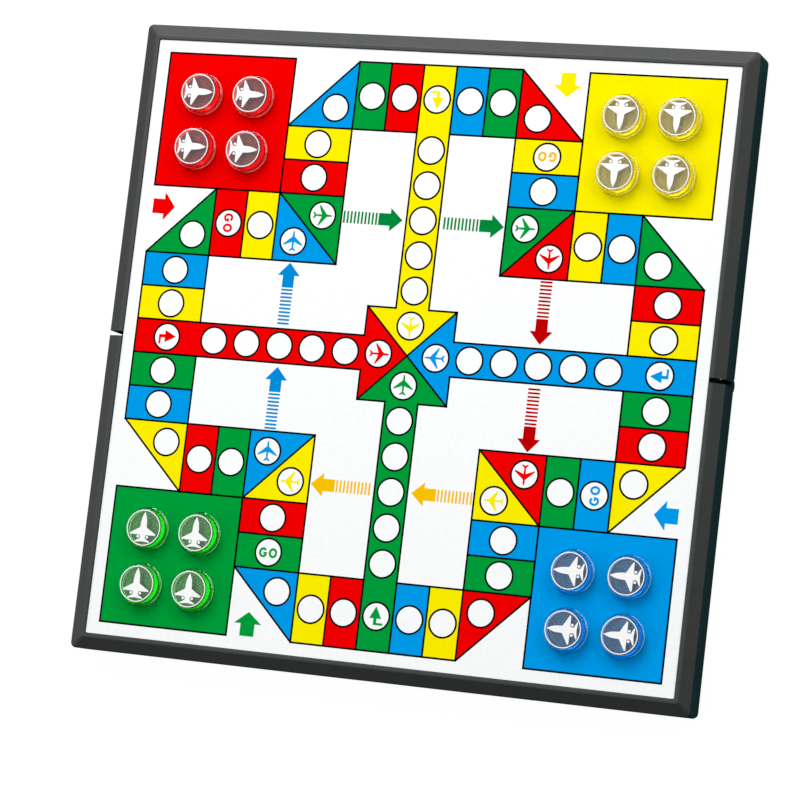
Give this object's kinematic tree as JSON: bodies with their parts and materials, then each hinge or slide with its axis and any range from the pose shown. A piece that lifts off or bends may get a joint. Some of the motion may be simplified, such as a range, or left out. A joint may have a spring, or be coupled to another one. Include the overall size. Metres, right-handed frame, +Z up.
{
  "type": "folding ludo board box",
  "caption": "Square black plastic game box that folds in half, shown open with a ludo track on top and small round magnetic counters on its four corner bases.",
  "frame": {"origin": "under the middle of the seam between the halves, on the plane that the feet stand on", "axes": "+X along the seam and the hinge, +Y towards the rear half, +Z up out of the playing face"},
  "size_m": [0.2866, 0.2858, 0.025],
  "materials": {
    "black_plastic": "fine moulded texture, satin",
    "sheet_white": "smooth laminated print sheet",
    "steel_sheet": "tinplate",
    "foot_rubber": "matt",
    "magnet_black": "sintered ferrite, matt",
    "pin_steel": "drawn wire",
    "clear_red": "clear tinted, polished",
    "clear_yellow": "clear tinted, polished",
    "clear_green": "clear tinted, polished",
    "clear_blue": "clear tinted, polished",
    "ink_black": "printed line",
    "ink_white": "printed space",
    "ink_red": "printed colour",
    "ink_yellow": "printed colour",
    "ink_green": "printed colour",
    "ink_blue": "printed colour",
    "ink_dark_red": "printed colour",
    "ink_orange": "printed colour",
    "ink_dark_green": "printed colour",
    "ink_dark_blue": "printed colour",
    "foil_white": "raised white print on the counters"
  },
  "bodies": {
    "front_half": {"front_case": "black_plastic", "front_steel_sheet": "steel_sheet", "front_playing_sheet": "sheet_white", "front_feet": "foot_rubber", "front_closing_magnets": "magnet_black", "hinge_pin_left": "pin_steel", "hinge_pin_right": "pin_steel"},
    "rear_half": {"rear_case": "black_plastic", "rear_steel_sheet": "steel_sheet", "rear_playing_sheet": "sheet_white", "rear_feet": "foot_rubber", "rear_closing_magnets": "magnet_black"},
    "red_counter_1": {"red_counter_1_cap": "clear_red", "red_counter_1_magnet": "magnet_black"},
    "red_counter_2": {"red_counter_2_cap": "clear_red", "red_counter_2_magnet": "magnet_black"},
    "red_counter_3": {"red_counter_3_cap": "clear_red", "red_counter_3_magnet": "magnet_black"},
    "red_counter_4": {"red_counter_4_cap": "clear_red", "red_counter_4_magnet": "magnet_black"},
    "yellow_counter_1": {"yellow_counter_1_cap": "clear_yellow", "yellow_counter_1_magnet": "magnet_black"},
    "yellow_counter_2": {"yellow_counter_2_cap": "clear_yellow", "yellow_counter_2_magnet": "magnet_black"},
    "yellow_counter_3": {"yellow_counter_3_cap": "clear_yellow", "yellow_counter_3_magnet": "magnet_black"},
    "yellow_counter_4": {"yellow_counter_4_cap": "clear_yellow", "yellow_counter_4_magnet": "magnet_black"},
    "green_counter_1": {"green_counter_1_cap": "clear_green", "green_counter_1_magnet": "magnet_black"},
    "green_counter_2": {"green_counter_2_cap": "clear_green", "green_counter_2_magnet": "magnet_black"},
    "green_counter_3": {"green_counter_3_cap": "clear_green", "green_counter_3_magnet": "magnet_black"},
    "green_counter_4": {"green_counter_4_cap": "clear_green", "green_counter_4_magnet": "magnet_black"},
    "blue_counter_1": {"blue_counter_1_cap": "clear_blue", "blue_counter_1_magnet": "magnet_black"},
    "blue_counter_2": {"blue_counter_2_cap": "clear_blue", "blue_counter_2_magnet": "magnet_black"},
    "blue_counter_3": {"blue_counter_3_cap": "clear_blue", "blue_counter_3_magnet": "magnet_black"},
    "blue_counter_4": {"blue_counter_4_cap": "clear_blue", "blue_counter_4_magnet": "magnet_black"}
  },
  "joints": [
    {"name": "fold", "type": "hinge", "parent": "front_half", "child": "rear_half", "pos_m": [0, 0, 0.0028], "axis": [-1, 0, 0], "range_deg": [0, 180]},
    {"name": "red_counter_1_lift", "type": "slide", "parent": "rear_half", "child": "red_counter_1", "axis": [0, 0, 1], "range_m": [0, 0.02]},
    {"name": "red_counter_2_lift", "type": "slide", "parent": "rear_half", "child": "red_counter_2", "axis": [0, 0, 1], "range_m": [0, 0.02]},
    {"name": "red_counter_3_lift", "type": "slide", "parent": "rear_half", "child": "red_counter_3", "axis": [0, 0, 1], "range_m": [0, 0.02]},
    {"name": "red_counter_4_lift", "type": "slide", "parent": "rear_half", "child": "red_counter_4", "axis": [0, 0, 1], "range_m": [0, 0.02]},
    {"name": "yellow_counter_1_lift", "type": "slide", "parent": "rear_half", "child": "yellow_counter_1", "axis": [0, 0, 1], "range_m": [0, 0.02]},
    {"name": "yellow_counter_2_lift", "type": "slide", "parent": "rear_half", "child": "yellow_counter_2", "axis": [0, 0, 1], "range_m": [0, 0.02]},
    {"name": "yellow_counter_3_lift", "type": "slide", "parent": "rear_half", "child": "yellow_counter_3", "axis": [0, 0, 1], "range_m": [0, 0.02]},
    {"name": "yellow_counter_4_lift", "type": "slide", "parent": "rear_half", "child": "yellow_counter_4", "axis": [0, 0, 1], "range_m": [0, 0.02]},
    {"name": "green_counter_1_lift", "type": "slide", "parent": "front_half", "child": "green_counter_1", "axis": [0, 0, 1], "range_m": [0, 0.02]},
    {"name": "green_counter_2_lift", "type": "slide", "parent": "front_half", "child": "green_counter_2", "axis": [0, 0, 1], "range_m": [0, 0.02]},
    {"name": "green_counter_3_lift", "type": "slide", "parent": "front_half", "child": "green_counter_3", "axis": [0, 0, 1], "range_m": [0, 0.02]},
    {"name": "green_counter_4_lift", "type": "slide", "parent": "front_half", "child": "green_counter_4", "axis": [0, 0, 1], "range_m": [0, 0.02]},
    {"name": "blue_counter_1_lift", "type": "slide", "parent": "front_half", "child": "blue_counter_1", "axis": [0, 0, 1], "range_m": [0, 0.02]},
    {"name": "blue_counter_2_lift", "type": "slide", "parent": "front_half", "child": "blue_counter_2", "axis": [0, 0, 1], "range_m": [0, 0.02]},
    {"name": "blue_counter_3_lift", "type": "slide", "parent": "front_half", "child": "blue_counter_3", "axis": [0, 0, 1], "range_m": [0, 0.02]},
    {"name": "blue_counter_4_lift", "type": "slide", "parent": "front_half", "child": "blue_counter_4", "axis": [0, 0, 1], "range_m": [0, 0.02]}
  ]
}
